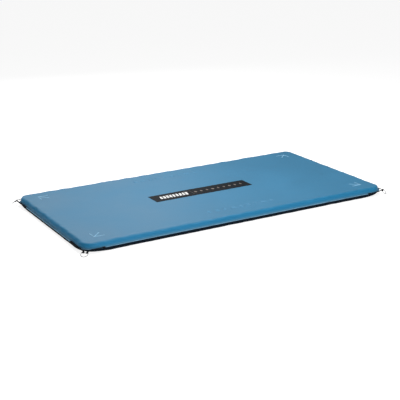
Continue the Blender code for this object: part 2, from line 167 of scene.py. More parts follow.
class Tree:
    """Short ways to add a material's nodes and join them."""

    def __init__(self, name, colour, roughness, metallic=0.0):
        self.material = bpy.data.materials.new(name)
        self.material.use_nodes = True
        self.nodes = self.material.node_tree.nodes
        self.links = self.material.node_tree.links
        self.shader = self.nodes["Principled BSDF"]
        self.fix("Base Color", (*colour, 1))
        self.fix("Roughness", roughness)
        self.fix("Metallic", metallic)

    def add(self, kind, inputs, **settings):
        node = self.nodes.new(kind)
        for key, value in settings.items():
            setattr(node, key, value)
        for key, value in inputs.items():
            self.set(node.inputs[key], value)
        return node

    def set(self, socket, value):
        if isinstance(value, bpy.types.NodeSocket):
            self.links.new(value, socket)
        else:
            socket.default_value = value

    def fix(self, name, value):
        self.shader.inputs[name].default_value = value

    def math(self, operation, first, second=0.0):
        return self.add("ShaderNodeMath", {0: first, 1: second}, operation=operation).outputs[0]

    def place(self):
        """The point in the piece's own frame, in metres, as a vector and as X, Y and Z."""
        point = self.nodes.new("ShaderNodeTexCoord").outputs["Object"]
        axes = self.add("ShaderNodeSeparateXYZ", {0: point}).outputs
        return point, axes[0], axes[1], axes[2]

    def attribute(self, name):
        return self.add("ShaderNodeAttribute", {}, attribute_name=name).outputs["Fac"]

    def noise(self, point, scale, detail=3.0, roughness=0.5):
        inputs = {"Vector": point, "Scale": scale, "Detail": detail, "Roughness": roughness}
        return self.add("ShaderNodeTexNoise", inputs).outputs["Fac"]

    def ramp(self, value, low, high, out_low=0.0, out_high=1.0):
        """value from low..high as out_low..out_high, held at both ends."""
        inputs = {0: value, 1: low, 2: high, 3: out_low, 4: out_high}
        return self.add("ShaderNodeMapRange", inputs).outputs[0]

    def band(self, value, start, full, fade, end):
        """1 where value is from full to fade, easing to 0 at start and end."""
        return self.math("MULTIPLY", self.ramp(value, start, full), self.ramp(value, fade, end, 1.0, 0.0))

    def wave(self, value, pitch):
        """A sine of value that repeats every pitch, from 0 to 1."""
        turns = self.math("MULTIPLY", value, 2 * math.pi / pitch)
        return self.math("MULTIPLY_ADD", self.math("SINE", turns), 0.5)

    def mix(self, share, first, second):
        """A colour between first and second. Each is a colour or a socket."""
        node = self.add("ShaderNodeMix", {"Factor": share}, data_type="RGBA")
        for socket, colour in ((node.inputs[6], first), (node.inputs[7], second)):
            self.set(socket, colour if isinstance(colour, bpy.types.NodeSocket) else (*colour, 1))
        return node.outputs[2]

    def bump(self, height, distance, strength=1.0, after=None):
        inputs = {"Height": height, "Distance": distance, "Strength": strength}
        if after is not None:
            inputs["Normal"] = after
        return self.add("ShaderNodeBump", inputs).outputs["Normal"]

    def finish(self, colour=None, roughness=None, normal=None):
        for name, value in (("Base Color", colour), ("Roughness", roughness), ("Normal", normal)):
            if value is not None:
                self.set(self.shader.inputs[name], value)
        return self.material


def shade(colour, factor):
    return tuple(channel * factor for channel in colour)


def plain_weave(tree, x, y, pitch):
    """Over and under threads of a plain weave, from 0 to 1."""
    return tree.math("ABSOLUTE", tree.math("SUBTRACT", tree.wave(x, pitch), tree.wave(y, pitch)))


def skin_material(name, colour, painted_side_shade, weld_and_highlight_colour, pitch, roughness, gloss):
    """Coated fabric: a brushed weave, painted shade that darkens the side wall, and a paler, ribbed welded
    flange whose paleness is partly its own tone and partly a painted highlight.
    """
    tree = Tree(name, colour, roughness)
    tree.fix("Sheen Weight", 0.2 * gloss)
    tree.fix("Sheen Roughness", 0.35)
    tree.fix("Sheen Tint", (0.90, 0.95, 1.0, 1))
    point, x, y, _ = tree.place()
    inset = tree.attribute("inset")
    tree.set(tree.shader.inputs["Specular IOR Level"], tree.ramp(inset, 0.020, 0.036, 0.25 * gloss, gloss))
    around = tree.attribute("around")
    cloud = tree.noise(point, 3.0, 4.0)
    fleck = tree.noise(point, 900.0, 2.0)
    tone = tree.mix(tree.ramp(cloud, 0.3, 0.7), shade(colour, 0.95), shade(colour, 1.05))
    tone = tree.mix(tree.ramp(fleck, 0.35, 0.65, 0.0, 0.22), tone, shade(colour, 0.72))
    # Painted shade: the side wall just above the flange is mixed towards a darker blue that stands in for
    # shade
    tone = tree.mix(tree.band(inset, 0.008, 0.011, 0.013, 0.028), tone, painted_side_shade)
    scuff = tree.band(inset, 0.020, 0.032, 0.036, 0.055)
    patch = tree.ramp(tree.noise(point, 22.0, 5.0), 0.55, 0.78, 0.0, 0.22)
    worn = tuple(channel + 0.05 for channel in shade(colour, 1.1))
    tone = tree.mix(tree.math("MULTIPLY", scuff, patch), tone, worn)
    on_flange = tree.ramp(inset, FLANGE_WIDTH - 0.0008, FLANGE_WIDTH + 0.0008, 1.0, 0.0)
    ribs = tree.wave(around, 0.0025)
    # Partly painted highlight: the flange's colour is partly the welded seam's own paler tone and partly
    # light caught by the flat flange, painted in
    weld_and_highlight_tone = tree.mix(tree.ramp(ribs, 0.0, 1.0, 0.0, 0.35), weld_and_highlight_colour, shade(weld_and_highlight_colour, 0.80))
    tone = tree.mix(on_flange, tone, weld_and_highlight_tone)
    weave = plain_weave(tree, x, y, pitch)
    cloth = tree.bump(weave, 0.00012, 0.5)
    normal = tree.bump(tree.math("MULTIPLY", ribs, on_flange), 0.0003, 0.6, cloth)
    rough = tree.ramp(cloud, 0.3, 0.7, roughness - 0.04, roughness + 0.05)
    return tree.finish(tone, rough, normal)


def foam_material():
    colour = (0.74, 0.66, 0.42)
    tree = Tree("open_cell_foam", colour, 0.95)
    point = tree.place()[0]
    cells = tree.add("ShaderNodeTexVoronoi", {"Vector": point, "Scale": 700.0}).outputs["Distance"]
    tone = tree.mix(tree.ramp(cells, 0.0, 0.6), shade(colour, 0.55), colour)
    aged = tree.ramp(tree.noise(point, 6.0), 0.4, 0.7, 0.0, 0.4)
    tone = tree.mix(aged, tone, (0.70, 0.56, 0.30))
    return tree.finish(tone, None, tree.bump(cells, 0.0008))


def webbing_material():
    """Narrow woven tape: ribs across it in a herringbone, with darker selvedges."""
    colour = (0.005, 0.006, 0.008)
    tree = Tree("woven_webbing", colour, 0.85)
    tree.fix("Specular IOR Level", 0.06)
    along = tree.attribute("along")
    across = tree.attribute("across")
    from_middle = tree.math("ABSOLUTE", across)
    slant = tree.math("MULTIPLY", from_middle, 0.9)
    ribs = tree.wave(tree.math("ADD", along, slant), 0.0011)
    cords = tree.wave(across, 0.0013)
    height = tree.math("MULTIPLY", ribs, tree.ramp(cords, 0.0, 1.0, 0.5, 1.0))
    edge = tree.ramp(from_middle, 0.0034, 0.0044)
    tone = tree.mix(tree.ramp(height, 0.2, 0.9), shade(colour, 0.6), shade(colour, 1.9))
    tone = tree.mix(edge, tone, shade(colour, 0.7))
    return tree.finish(tone, None, tree.bump(height, 0.0003))


def thread_material():
    """Twisted sewing thread."""
    colour = (0.016, 0.018, 0.022)
    tree = Tree("black_thread", colour, 0.6)
    tree.fix("Sheen Weight", 0.2)
    _, x, y, z = tree.place()
    twist = tree.wave(tree.math("ADD", tree.math("ADD", x, y), z), 0.0006)
    tone = tree.mix(twist, shade(colour, 0.6), shade(colour, 1.5))
    return tree.finish(tone, None, tree.bump(twist, 0.0001))


def plated_material():
    """Nickel-plated steel wire with drawing marks and a little wear."""
    tree = Tree("plated_steel", (0.24, 0.24, 0.25), 0.28, 1.0)
    point = tree.place()[0]
    marks = tree.noise(point, 1400.0, 4.0, 0.7)
    wear = tree.noise(point, 120.0, 5.0, 0.6)
    tone = tree.mix(tree.ramp(wear, 0.50, 0.72), (0.25, 0.25, 0.26), (0.16, 0.155, 0.15))
    rough = tree.ramp(wear, 0.35, 0.7, 0.16, 0.42)
    return tree.finish(tone, rough, tree.bump(marks, 0.00005, 0.6))


def ink_material(name, colour, roughness, fade):
    """Ink printed on woven fabric. The weave shows through, and the ink thins where it has been rubbed."""
    tree = Tree(name, colour, roughness)
    tree.fix("Specular IOR Level", 0.08)
    point, x, y, _ = tree.place()
    weave = plain_weave(tree, x, y, 0.0012)
    rubbed = tree.ramp(tree.noise(point, 60.0, 6.0, 0.65), 0.55, 0.8, 0.0, fade)
    tone = tree.mix(rubbed, colour, (0.10, 0.24, 0.40))
    tone = tree.mix(tree.ramp(weave, 0.0, 1.0, 0.25, 0.0), tone, shade(colour, 0.7))
    return tree.finish(tone, None, tree.bump(weave, 0.0001, 0.6))


def moulded_material(name, colour, roughness, grain):
    """Injection-moulded plastic or rubber with a fine spark-eroded grain and handling marks."""
    tree = Tree(name, colour, roughness)
    point = tree.place()[0]
    fine = tree.noise(point, 2600.0, 3.0)
    rub = tree.noise(point, 150.0, 5.0)
    tone = tree.mix(tree.ramp(rub, 0.5, 0.75, 0.0, 0.5), colour, shade(colour, 1.9))
    rough = tree.ramp(rub, 0.35, 0.7, roughness + 0.06, roughness - 0.08)
    return tree.finish(tone, rough, tree.bump(fine, grain, 0.7))


def floor_material():
    """Matt white acrylic sheet, lit a little from below so that shadows on it stay faint."""
    tree = Tree("studio_sheet", (0.45, 0.45, 0.45), 0.9)
    tree.fix("Specular IOR Level", 0.0)
    tree.fix("Emission Color", (1, 1, 1, 1))
    tree.fix("Emission Strength", FLOOR_GLOW)
    point = tree.place()[0]
    tone = tree.mix(tree.noise(point, 0.6), (0.44, 0.44, 0.44), (0.46, 0.46, 0.46))
    return tree.finish(tone)


# ---------------- shared geometry


def waist_share(place):
    """How much of the waist a side has: all in its middle, and none by the corners, at -1 and 1."""
    return max(0, 1 - (place / WAIST_END) ** WAIST_POWER) ** 2


def pull_in(x, y):
    """The plan point once the mat's sides have drawn in between its corners."""
    along = waist_share(y / HALF_WIDTH) * WAIST / HALF_LENGTH
    across = waist_share(x / HALF_LENGTH) * WAIST / HALF_WIDTH
    return x * (1 - along), y * (1 - across)


def add_object(name, data):
    added = bpy.data.objects.new(name, data)
    bpy.context.scene.collection.objects.link(added)
    return added


def add_piece(name, mesh, material, body, nodes, matrix=None):
    """A finished piece that rides on a body and stands for these nodes of the frame.

    Its mesh is given in its own frame, and matrix places that in the mat's frame.
    """
    piece = add_object(name, mesh)
    if matrix is not None:
        mesh.transform(matrix)
    mesh.materials.clear()
    mesh.materials.append(material)
    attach(piece, body)
    if nodes:
        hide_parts(*nodes)
    return piece


def mesh_from(name, points, faces, smooth_angle=40):
    mesh = bpy.data.meshes.new(name)
    mesh.from_pydata([tuple(point) for point in points], [], faces)
    mesh.shade_smooth()
    mesh.set_sharp_from_angle(angle=math.radians(smooth_angle))
    return mesh


def round_corners(corners, radius, shares=(0, 0.25, 0.5, 0.75, 1)):
    """The closed outline with each corner replaced by a short curve through these shares of its length."""
    points = []
    for index, corner in enumerate(corners):
        point = Vector(corner)
        before = Vector(corners[index - 1]) - point
        after = Vector(corners[(index + 1) % len(corners)]) - point
        cut = min(radius, before.length * 0.4, after.length * 0.4)
        for share in shares:
            start = point + before.normalized() * cut * (1 - share) ** 2
            points.append(start + after.normalized() * cut * share**2)
    return points


def mesh_of(bm, name):
    mesh = bpy.data.meshes.new(name)
    bm.to_mesh(mesh)
    bm.free()
    return mesh


def solid_from(name, points, faces, smooth_angle=50):
    """A closed mesh whose faces all look outward."""
    mesh = mesh_from(name, points, faces, smooth_angle)
    bm = bmesh.new()
    bm.from_mesh(mesh)
    bmesh.ops.recalc_face_normals(bm, faces=bm.faces)
    bm.to_mesh(mesh)
    bm.free()
    return mesh


def tube_faces(rings, count, ends):
    """Quads between rings of count points each. The ends are "open", "filled" or "joined" to each other."""
    faces = []
    for ring in range(rings if ends == "joined" else rings - 1):
        low = ring * count
        high = (ring + 1) % rings * count
        for step in range(count):
            after = (step + 1) % count
            faces.append((low + step, low + after, high + after, high + step))
    if ends == "filled":
        faces.append(tuple(range(count))[::-1])
        faces.append(tuple(range((rings - 1) * count, rings * count)))
    return faces


def add_attribute(mesh, name, values):
    attribute = mesh.attributes.new(name, "FLOAT", "POINT")
    attribute.data.foreach_set("value", np.asarray(values, np.float32))


# ---------------- skins


def corner_centre(index, inset, radius):
    sign_x, sign_y = CORNER_SIGNS[index % 4]
    return Vector((sign_x * (HALF_LENGTH - inset - radius), sign_y * (HALF_WIDTH - inset - radius)))


def side_points(index, inset, radius, count):
    """Evenly spaced plan points from the middle of one corner's arc to the middle of the next one's."""
    first = corner_centre(index, inset, radius)
    second = corner_centre(index + 1, inset, radius)
    straight = (second - first).length
    half_arc = radius * math.pi / 4
    points = []
    for step in range(count):
        run = (straight + 2 * half_arc) * step / count
        if run < half_arc:
            centre = first
            angle = (index + 0.5) * math.pi / 2 + run / radius
        elif run <= half_arc + straight:
            centre = first.lerp(second, (run - half_arc) / straight)
            angle = (index + 1) * math.pi / 2
        else:
            centre = second
            angle = (index + 1) * math.pi / 2 + (run - half_arc - straight) / radius
        points.append((centre.x + radius * math.cos(angle), centre.y + radius * math.sin(angle)))
    return points


def ring_points(inset, radius):
    """Plan points round the mat, counter-clockwise from the back right corner."""
    points = []
    for index in range(4):
        count = CELLS_SHORT if index % 2 else CELLS_LONG
        points += side_points(index, inset, radius, count)
    return [pull_in(x, y) for x, y in points]


def section_rows(seam, face, run, face_radius):
    """Rows of (inset, height, corner radius) from the edge of the flange to the inside of the rim."""
    rows = []
    for step in range(FLANGE_ROWS):
        inset = FLANGE_WIDTH * step / FLANGE_ROWS
        rows.append((inset, seam, CORNER_RADIUS - inset))
    inner_radius = CORNER_RADIUS - FLANGE_WIDTH
    for step in range(SIDE_ROWS + 1):
        angle = math.pi / 2 * step / SIDE_ROWS
        inward = 1 - math.cos(angle)
        height = seam + (face - seam) * math.sin(angle)
        radius = inner_radius + (face_radius - inner_radius) * inward
        rows.append((FLANGE_WIDTH + run * inward, height, radius))
    start = FLANGE_WIDTH + run
    for step in range(1, FACE_ROWS + 1):
        share = (step / FACE_ROWS) ** 1.5
        rows.append((start + (RIM_DEPTH - start) * share, face, face_radius * (1 - share)))
    return rows


def rim_surface(rows, ends="open"):
    """Points and faces of the rim, with each point's distance in from the edge and its place round it."""
    perimeter = 4 * (HALF_LENGTH + HALF_WIDTH)
    points = []
    insets = []
    around = []
    for inset, height, radius in rows:
        points += [(x, y, height) for x, y in ring_points(inset, radius)]
        insets += [inset] * RIM_CELLS
        around += [perimeter * step / RIM_CELLS for step in range(RIM_CELLS)]
    return points, tube_faces(len(rows), RIM_CELLS, ends), insets, around


def fill_middle(points, faces, insets, around, height):
    """Adds the flat middle as a regular grid that shares the rim's last ring."""
    ring = len(points) - RIM_CELLS
    grid = {}
    for step in range(CELLS_LONG):
        grid[CELLS_LONG - step, CELLS_SHORT] = ring + step
        grid[step, 0] = ring + CELLS_LONG + CELLS_SHORT + step
    for step in range(CELLS_SHORT):
        grid[0, CELLS_SHORT - step] = ring + CELLS_LONG + step
        grid[CELLS_LONG, step] = ring + 2 * CELLS_LONG + CELLS_SHORT + step
    half_x = HALF_LENGTH - RIM_DEPTH
    half_y = HALF_WIDTH - RIM_DEPTH
    for column in range(1, CELLS_LONG):
        for line in range(1, CELLS_SHORT):
            x = half_x * (2 * column / CELLS_LONG - 1)
            y = half_y * (2 * line / CELLS_SHORT - 1)
            grid[column, line] = len(points)
            points.append((*pull_in(x, y), height))
            insets.append(min(HALF_LENGTH - abs(x), HALF_WIDTH - abs(y)))
            around.append(0.0)
    for column in range(CELLS_LONG):
        for line in range(CELLS_SHORT):
            corners = ((column, line), (column + 1, line), (column + 1, line + 1), (column, line + 1))
            faces.append(tuple(grid[corner] for corner in corners))


def evened(shift):
    """The cloth's movement, averaged with its neighbours round the mat so that no crease is sharp."""
    rings = shift.reshape(-1, RIM_CELLS, 3)
    for _ in range(3):
        rings = (np.roll(rings, 1, axis=1) + 2 * rings + np.roll(rings, -1, axis=1)) / 4
    return rings.reshape(-1, 3)


def puff(points, faces, weights):
    """Moves the rim's free points as cloth does under pressure, but never into the foam."""
    rest = np.array(points)
    mesh = bpy.data.meshes.new("rim_cloth")
    mesh.from_pydata(points, [], faces)
    normals = np.array([vertex.normal for vertex in mesh.vertices])
    cloth_piece = add_object("rim_cloth", mesh)
    pins = cloth_piece.vertex_groups.new(name="pins")
    for index, weight in enumerate(weights):
        pins.add([index], float(weight), "REPLACE")
    cloth = cloth_piece.modifiers.new("cloth", "CLOTH")
    settings = cloth.settings
    settings.quality = 5
    settings.mass = 0.2
    settings.tension_stiffness = 15
    settings.compression_stiffness = 15
    settings.shear_stiffness = 5
    settings.bending_stiffness = 0.4
    settings.vertex_group_mass = "pins"
    settings.use_pressure = True
    settings.uniform_pressure_force = CLOTH_PRESSURE
    settings.shrink_min = -CLOTH_SLACK
    settings.effector_weights.gravity = 0
    cloth.collision_settings.use_collision = False
    for step in range(CLOTH_FRAMES):
        bpy.context.scene.frame_set(step + 1)
    evaluated = cloth_piece.evaluated_get(bpy.context.evaluated_depsgraph_get())
    moved = np.empty(len(points) * 3)
    evaluated.to_mesh().vertices.foreach_get("co", moved)
    evaluated.to_mesh_clear()
    bpy.context.scene.frame_set(1)
    bpy.data.objects.remove(cloth_piece)
    shift = evened(moved.reshape(-1, 3) - rest)
    length = np.linalg.norm(shift, axis=1, keepdims=True)
    shift *= np.minimum(1, MOST_PUFF / np.maximum(length, 1e-9))
    outward = (shift * normals).sum(axis=1, keepdims=True)
    shift += normals * (np.maximum(outward, -MOST_SINK) - outward)
    return (rest + shift).tolist()


def pin_weights(rows, seam):
    """How firmly each point of the rim is held: flange and bonded face fully, the side freely."""
    weights = []
    for inset, height, _ in rows:
        off_seam = min(1, max(0, abs(height - seam) - 0.002) / 0.008)
        off_face = min(1, max(0, 0.060 - inset) / 0.024)
        weights += [1 - off_seam * off_face] * RIM_CELLS
    return weights


def ripple(points, weights):
    """Starts the cloth with small ripples, so that it doesn't puff evenly."""
    moved = []
    for (x, y, z), weight in zip(points, weights):
        wave = noise.noise(Vector((x, y, z * 0.5)) * 14)
        moved.append((x, y, z + RIPPLE * (1 - weight) * wave))
    return moved


def dimple(x, y):
    """How far the bonded face stands above or below its flat height."""
    wide = noise.noise(Vector((x, y, 0.3)) * 3.1)
    fine = noise.noise(Vector((x, y, 5.7)) * 11.0)
    return 0.0009 * wide + 0.0003 * fine


def valve_arch(out):
    """How far each skin stands off the seam, this far to the side of the valve's axis."""
    return ARCH_HEIGHT * max(0, 1 - (out / ARCH_REACH) ** 2) ** 1.5


def over_valve(x, y, direction, height):
    """Lifts a skin in an arch over the valve's barrel, where the seam opens round it."""
    arch = valve_arch(y - VALVE.y)
    if x < VALVE.x - ARCH_DEPTH or arch == 0:
        return height
    clear = VALVE.z + direction * (SKIN_THICKNESS + arch)
    return max(height, clear) if direction > 0 else min(height, clear)


def make_skin(name, node, seam, face, run, face_radius, material, direction):
    """One skin of the mat. direction is 1 for the top and -1 for the bottom."""
    rows = section_rows(seam, face, run, face_radius)
    points, faces, insets, around = rim_surface(rows)
    weights = pin_weights(rows, seam)
    points = ripple(points, weights)
    outward = [quad[::direction] for quad in faces]
    points = puff(points, outward, weights)
    fill_middle(points, faces, insets, around, face)
    shaped = []
    for (x, y, z), inset in zip(points, insets):
        if direction > 0:
            z += dimple(x, y) * min(1, max(0, inset - 0.02) / 0.04)
        else:
            z = max(z, 0.0002)
        shaped.append((x, y, over_valve(x, y, direction, z)))
    mesh = mesh_from(name, shaped, [quad[::direction] for quad in faces], 60)
    add_attribute(mesh, "inset", insets)
    add_attribute(mesh, "around", around)
    piece = add_piece(name, mesh, material, "mat", [node])
    shell = piece.modifiers.new("fabric", "SOLIDIFY")
    shell.thickness = SKIN_THICKNESS
    shell.offset = -1
    return piece


# ---------------- prints


def surface_under(piece):
    """A function that gives the height of a piece's upper surface at a plan point."""
    points = [vertex.co.copy() for vertex in piece.data.vertices]
    faces = [tuple(polygon.vertices) for polygon in piece.data.polygons]
    tree = BVHTree.FromPolygons(points, faces)
    above = 1.0

    def height(x, y):
        return tree.ray_cast(Vector((x, y, above)), Vector((0, 0, -1)))[0].z

    return height


def draped_film(name, outlines, lift, material, nodes):
    """Printed shapes: outlines cut into cells, then laid on the top skin."""
    bm = bmesh.new()
    for outline in outlines:
        bm.faces.new([bm.verts.new((x, y, 0)) for x, y in outline])
    for axis in range(2):
        values = [vertex.co[axis] for vertex in bm.verts]
        first = math.ceil(min(values) / FILM_CELL)
        last = math.floor(max(values) / FILM_CELL)
        normal = Vector((1 - axis, axis, 0))
        for index in range(first, last + 1):
            geometry = bm.verts[:] + bm.edges[:] + bm.faces[:]
            bmesh.ops.bisect_plane(bm, geom=geometry, plane_co=normal * index * FILM_CELL, plane_no=normal)
    bmesh.ops.recalc_face_normals(bm, faces=bm.faces)
    for face in bm.faces:
        if face.normal.z < 0:
            face.normal_flip()
    for vertex in bm.verts:
        vertex.co.z = top_height(vertex.co.x, vertex.co.y) + lift
    mesh = mesh_of(bm, name)
    mesh.shade_smooth()
    piece = add_piece(name, mesh, material, "mat", nodes)
    ink = piece.modifiers.new("ink", "SOLIDIFY")
    ink.thickness = FILM_THICKNESS
    ink.offset = 1


def box_outline(left, bottom, right, top, slant=0.0):
    """A box's corners, with its top moved along by slant."""
    return [(left, bottom), (right, bottom), (right + slant, top), (left + slant, top)]


def make_badge():
    """The dark panel with plain slanted bars, a fine rule and a row of small diamonds."""
    low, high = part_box("center_badge")
    length = high.x - low.x
    width = high.y - low.y
    panel = round_corners(box_outline(low.x, low.y, high.x, high.y), 0.003)
    draped_film("center_badge_panel", [panel], PRINT_LIFT, badge_ink, ["center_badge"])
    bars = []
    bar_count = 9
    pitch = 0.29 * length / bar_count
    bottom = low.y + 0.32 * width
    top = low.y + 0.69 * width
    for index in range(bar_count):
        left = low.x + 0.075 * length + index * pitch
        bars.append(box_outline(left, bottom, left + 0.68 * pitch, top, 0.18 * (top - bottom)))
    marks = []
    mark_count = 9
    middle = (low.y + high.y) / 2
    tall = 0.014
    for index in range(mark_count):
        x = low.x + length * (0.445 + 0.06 * index)
        half = 0.0085 if index % 3 else 0.0115
        marks.append([(x - half, middle), (x, middle - tall), (x + half, middle), (x, middle + tall)])
    left = low.x + 0.405 * length
    rule = box_outline(left, low.y + 0.22 * width, left + 0.0015, low.y + 0.80 * width)
    overprints = {"bars": (bars, white_ink), "diamonds": (marks, dim_ink), "rule": ([rule], dim_ink)}
    for part, (outlines, ink) in overprints.items():
        draped_film(f"badge_{part}", outlines, OVERPRINT_LIFT, ink, [])


def corner_mark_outline():
    """Three strokes from a point at the origin, spread over a quarter turn towards -X and -Y."""
    half = 0.0032
    notch = half / math.sin(math.pi / 8)
    points = [Vector((half, half))]
    for index, reach in enumerate((0.062, 0.072, 0.062)):
        turn = Matrix.Rotation(math.pi + index * math.pi / 4, 2)
        points.append(turn @ Vector((reach, -half)))
        points.append(turn @ Vector((reach, half)))
        if index < 2:
            between = math.pi + (index + 0.5) * math.pi / 4
            points.append(notch * Vector((math.cos(between), math.sin(between))))
    return points


def make_corner_marks():
    for index, (corner, (sign_x, sign_y)) in enumerate(zip(CORNER_NAMES, CORNER_SIGNS)):
        low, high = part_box(f"{corner}_corner_mark")
        tip = Vector((high.x if sign_x > 0 else low.x, high.y if sign_y > 0 else low.y))
        tip -= Vector((sign_x, sign_y)) * 0.003
        turn = Matrix.Rotation(index * math.pi / 2, 2)
        outline = [tuple(tip + turn @ point) for point in corner_mark_outline()]
        node = f"{corner}_corner_mark"
        draped_film(f"{corner}_arrow", [outline], PRINT_LIFT, mark_ink, [node])


def make_edge_prints():
    """Two faint rows of rounded dashes, in a tone close to the fabric's, by the long edges."""
    for name, middle_x, middle_y in (("front", 0.05, -0.385), ("back", -0.05, 0.385)):
        dashes = []
        for index in range(9):
            x = middle_x + (index - 4) * 0.052
            half = 0.016 if index % 2 else 0.011
            box = box_outline(x - half, middle_y - 0.017, x + half, middle_y + 0.017)
            dashes.append(round_corners(box, 0.006))
        draped_film(f"{name}_edge_dashes", dashes, PRINT_LIFT, faint_ink, [])


# ---------------- straps and stitches


def bezier(start, start_pull, end_pull, end, share):
    rest = 1 - share
    near = rest**3 * start + 3 * rest**2 * share * start_pull
    return near + 3 * rest * share**2 * end_pull + share**3 * end


def strap_rows(corner, edge):
    """The strap's middle line, from its sewn end round the bar and back under itself.

    A row is (along the edge from the corner, in from the edge, height, heading, extra thickness).
    """
    outward = Vector((-1, -1)) / math.sqrt(2)
    shift = LOOP_OFFSET / math.sqrt(2)
    beside, inward = BAR_PLACES[corner] if edge == "long" else BAR_PLACES[corner][::-1]
    bar = Vector((beside + shift, inward - shift))
    bar_height = JOINTS[f"{corner}_ring_swing"]["pos_m"][2]
    reach = STRAP_REACH[edge]
    radius = LOOP_RADIUS
    level = STRAP_LEVEL
    rows = []
    flange_steps = round((reach - STRAP_LEAVES_FLANGE) / 0.002)
    for step in range(flange_steps):
        from_end = (reach - STRAP_LEAVES_FLANGE) * step / flange_steps
        hem = HEM_RISE * min(1, from_end / 0.0015) * min(1, max(0, HEM_LENGTH - from_end) / 0.003)
        rows.append((reach - from_end, STRAP_INSET, level + hem / 2, math.pi, hem))
    start = Vector((STRAP_LEAVES_FLANGE, STRAP_INSET))
    start_pull = start - Vector((STRAP_START_PULL, 0))
    end = bar - outward * STRAP_STRAIGHT
    end_pull = end - outward * STRAP_END_PULL
    free_steps = 34
    for step in range(free_steps + 1):
        share = step / free_steps
        point = bezier(start, start_pull, end_pull, end, share)
        drop = max(0, share - STRAP_DROP_START) / (1 - STRAP_DROP_START)
        ease = drop * drop * (3 - 2 * drop)
        height = level + (bar_height + radius - level) * ease
        rows.append((point.x, point.y, height, math.pi * (1 + share**3 / 4), 0))
    loop_steps = 14
    for step in range(loop_steps + 1):
        angle = math.pi * (0.5 - step / loop_steps)
        point = bar + outward * radius * math.cos(angle)
        rows.append((point.x, point.y, bar_height + radius * math.sin(angle), math.pi * 1.25, 0))
    tuck_steps = 5
    under = bar_height + radius - STRAP_THICKNESS - 0.0001
    for step in range(1, tuck_steps + 1):
        share = step / tuck_steps
        point = bar - outward * STRAP_TUCK * share
        rise = share * share * (3 - 2 * share)
        height = bar_height - radius + (under - bar_height + radius) * rise
        rows.append((point.x, point.y, height, math.pi * 1.25, 0))
    return rows


def place_at_corner(point, signs, on_long_edge):
    """A point given from a corner, in the mat's own frame."""
    along, inward, height = point
    in_x, in_y = (along, inward) if on_long_edge else (inward, along)
    x, y = pull_in(signs[0] * (HALF_LENGTH - in_x), signs[1] * (HALF_WIDTH - in_y))
    return Vector((x, y, height))


def tape_section(width, thickness):
    """Outline of a woven tape, as (across, up) points: flat faces and round selvedges."""
    half = width / 2 - thickness / 2
    top = [(share * half, thickness / 2) for share in (1, 0.5, 0, -0.5, -1)]
    top.append((-width / 2, 0))
    return top + [(-across, -up) for across, up in top]


def sweep(rows, section_at, place):
    """A closed band through the rows: points, faces, and how far along and across each point is."""
    centres = [Vector(row[:3]) for row in rows]
    points = []
    along = []
    across = []
    travelled = 0.0
    for index, (centre, row) in enumerate(zip(centres, rows)):
        before = centres[max(index - 1, 0)]
        after = centres[min(index + 1, len(rows) - 1)]
        travelled += (centre - before).length
        side = Vector((math.sin(row[3]), -math.cos(row[3]), 0))
        up = (after - before).cross(side).normalized()
        for offset, rise in section_at(row):
            points.append(place(centre + side * offset + up * rise))
            along.append(travelled)
            across.append(offset)
    count = len(section_at(rows[0]))
    return points, tube_faces(len(rows), count, "filled"), along, across


def end_wrap(reach, place):
    """Webbing folded over the flange's edge, where the strap's end is sewn."""
    thickness = 0.0013
    bend = 0.0004
    top = STRAP_LEVEL + STRAP_THICKNESS / 2 + 0.0001
    bottom = BOTTOM_SEAM - 0.0002
    inside = 0.0070
    outside = STRAP_INSET - STRAP_WIDTH / 2 - 0.0015
    outer = [(inside, top + thickness), (outside, top + thickness), (outside - thickness, top)]
    outer += [(outside - thickness, bottom), (outside, bottom - thickness), (inside, bottom - thickness)]
    inner = [(inside, bottom), (outside + bend, bottom), (outside, bottom + bend)]
    inner += [(outside, top - bend), (outside + bend, top), (inside, top)]
    points = []
    along = []
    across = []
    steps = 8
    for step in range(steps + 1):
        run = reach - 0.0005 - 0.0115 * step / steps
        swell = 0.0004 * math.sin(math.pi * step / steps)
        for inward, height in outer + inner:
            points.append(place(Vector((run, inward - swell, height))))
            along.append(inward)
            across.append(0.006 * (2 * step / steps - 1))
    return points, tube_faces(steps + 1, len(outer + inner), "filled"), along, across


def stitch(points, faces, start, end, lift, radius):
    """Adds a stitch: a short thread that rises from its hole, runs flat and goes down again."""
    side = (end - start).cross(Vector((0, 0, 1))).normalized()
    sides = 6
    profile = ((0.0, -0.5), (0.12, 0.6), (0.5, 1.0), (0.88, 0.6), (1.0, -0.5))
    first = len(points)
    for share, rise in profile:
        centre = start.lerp(end, share) + Vector((0, 0, lift * rise))
        for index in range(sides):
            angle = 2 * math.pi * index / sides
            offset = side * math.cos(angle) + Vector((0, 0, 1)) * math.sin(angle)
            points.append(centre + offset * radius)
    faces += [[first + index for index in face] for face in tube_faces(len(profile), sides, "filled")]


def make_stitching(name, node, reach, place):
    """A dense bar of stitches across the hem, and two lines of stitches along the strap."""
    points = []
    faces = []
    top = STRAP_LEVEL + STRAP_THICKNESS / 2
    hem_top = top + HEM_RISE
    tack_count = 13
    for index in range(tack_count):
        inward = STRAP_INSET + 0.0034 * (2 * index / (tack_count - 1) - 1)
        start = place(Vector((reach - 0.0045, inward, hem_top)))
        end = place(Vector((reach - 0.0085, inward + 0.00025, hem_top)))
        stitch(points, faces, start, end, 0.0004, 0.00027)
    pitch = 0.0034
    count = int((reach - HEM_LENGTH - STRAP_LEAVES_FLANGE - 0.002) / pitch)
    for line in (-0.0032, 0.0032):
        for index in range(count):
            along = reach - HEM_LENGTH - 0.002 - index * pitch
            start = place(Vector((along, STRAP_INSET + line, top)))
            end = place(Vector((along - 0.0025, STRAP_INSET + line, top)))
            stitch(points, faces, start, end, 0.0003, 0.00022)
    mesh = solid_from(name, points, faces, 180)
    add_piece(name, mesh, black_thread, "mat", [node])


